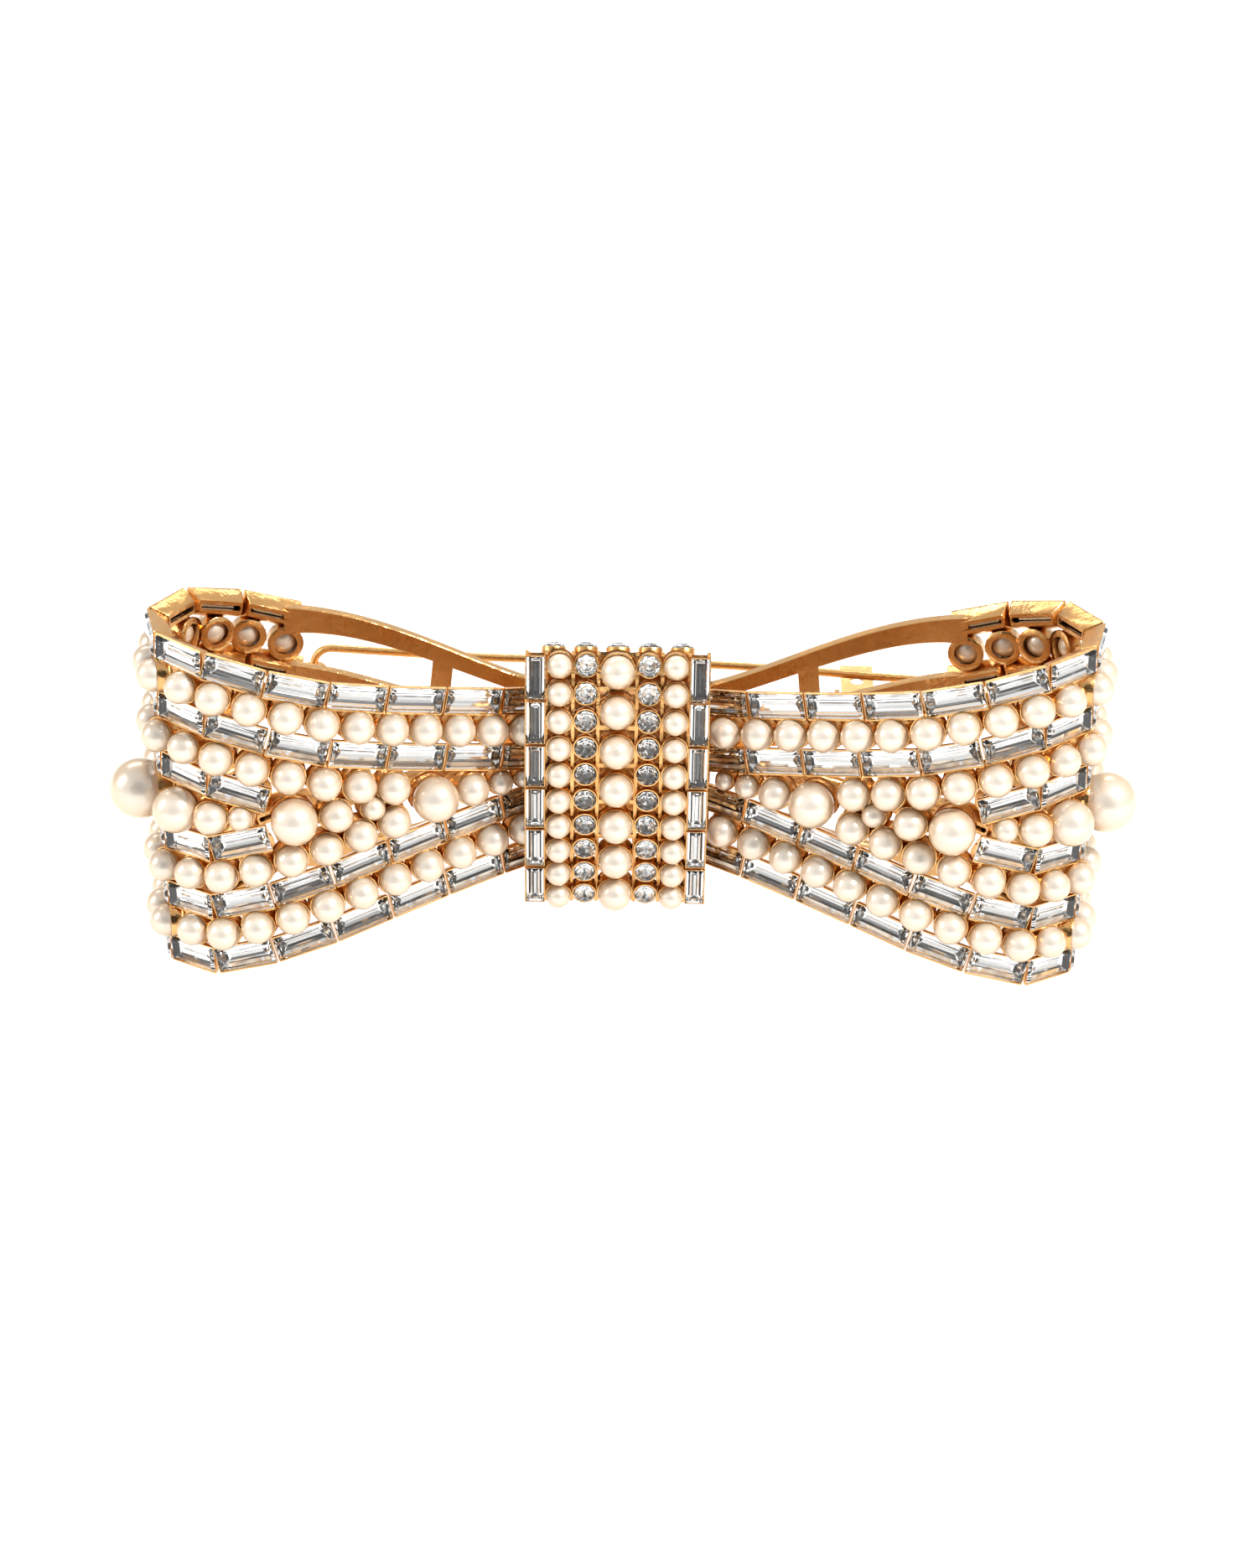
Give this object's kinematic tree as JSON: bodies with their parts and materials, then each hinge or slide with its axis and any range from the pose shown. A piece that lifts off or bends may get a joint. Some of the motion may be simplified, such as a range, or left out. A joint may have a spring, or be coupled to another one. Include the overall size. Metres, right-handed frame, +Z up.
{
  "type": "hair clip",
  "caption": "Bow-shaped hair clip with two openwork loops and a knot set with pearls and crystals, and a wire barrette on its back.",
  "frame": {"origin": "under the middle of the bounding box, on the level the lower rims of the loops stand on", "axes": "+X along the bow, +Y towards the head behind the clip, +Z up"},
  "size_m": [0.1212, 0.0425, 0.0425],
  "materials": {
    "gold_plate": "polished",
    "pearl": "pearlescent",
    "crystal": "faceted",
    "spring_steel": "gold plated"
  },
  "bodies": {
    "bow": {"left_loop_frame": "gold_plate", "left_baguettes_upper_outer": "crystal", "left_baguettes_upper_inner": "crystal", "left_baguettes_upper_end": "crystal", "left_pearls_upper_outer": "pearl", "left_pearls_upper_leaf": "pearl", "left_baguettes_lower_outer": "crystal", "left_baguettes_lower_inner": "crystal", "left_baguettes_lower_end": "crystal", "left_pearls_lower_outer": "pearl", "left_pearls_lower_leaf": "pearl", "left_end_pearl": "pearl", "left_pearls_middle": "pearl", "left_pearls_tip_front": "pearl", "left_pearls_tip_back": "pearl", "right_loop_frame": "gold_plate", "right_baguettes_upper_outer": "crystal", "right_baguettes_upper_inner": "crystal", "right_baguettes_upper_end": "crystal", "right_pearls_upper_outer": "pearl", "right_pearls_upper_leaf": "pearl", "right_baguettes_lower_outer": "crystal", "right_baguettes_lower_inner": "crystal", "right_baguettes_lower_end": "crystal", "right_pearls_lower_outer": "pearl", "right_pearls_lower_leaf": "pearl", "right_end_pearl": "pearl", "right_pearls_middle": "pearl", "right_pearls_tip_front": "pearl", "right_pearls_tip_back": "pearl", "knot_frame": "gold_plate", "knot_pearls_centre": "pearl", "knot_crystals_top": "crystal", "knot_crystals_left": "crystal", "knot_pearls_left": "pearl", "knot_baguettes_left": "crystal", "knot_crystals_right": "crystal", "knot_pearls_right": "pearl", "knot_baguettes_right": "crystal", "bow_saddle": "gold_plate", "knot_post": "gold_plate", "centre_plate": "gold_plate", "barrette_base": "gold_plate", "base_rivet_left": "gold_plate", "base_rivet_right": "gold_plate", "tension_spring": "spring_steel", "catch_bracket": "gold_plate"},
    "arm": {"clip_arm": "gold_plate"},
    "upper_jaw": {"catch_jaw_upper": "spring_steel"},
    "lower_jaw": {"catch_jaw_lower": "spring_steel"}
  },
  "joints": [
    {"name": "arm_hinge", "type": "hinge", "parent": "bow", "child": "arm", "pos_m": [-0.0393, 0.01974, 0.02275], "axis": [0, 0, 1], "range_deg": [0, 80]},
    {"name": "upper_jaw_squeeze", "type": "hinge", "parent": "bow", "child": "upper_jaw", "pos_m": [0.029, 0.01169, 0.02385], "axis": [1, 0, 0], "range_deg": [-10, 0], "stiffness_Nm_per_rad": 0.01},
    {"name": "lower_jaw_squeeze", "type": "hinge", "parent": "bow", "child": "lower_jaw", "pos_m": [0.029, 0.01169, 0.02165], "axis": [1, 0, 0], "range_deg": [0, 10], "stiffness_Nm_per_rad": 0.01}
  ],
  "couplings": [
    {"joint": "lower_jaw_squeeze", "follows": "upper_jaw_squeeze", "ratio": -1}
  ]
}
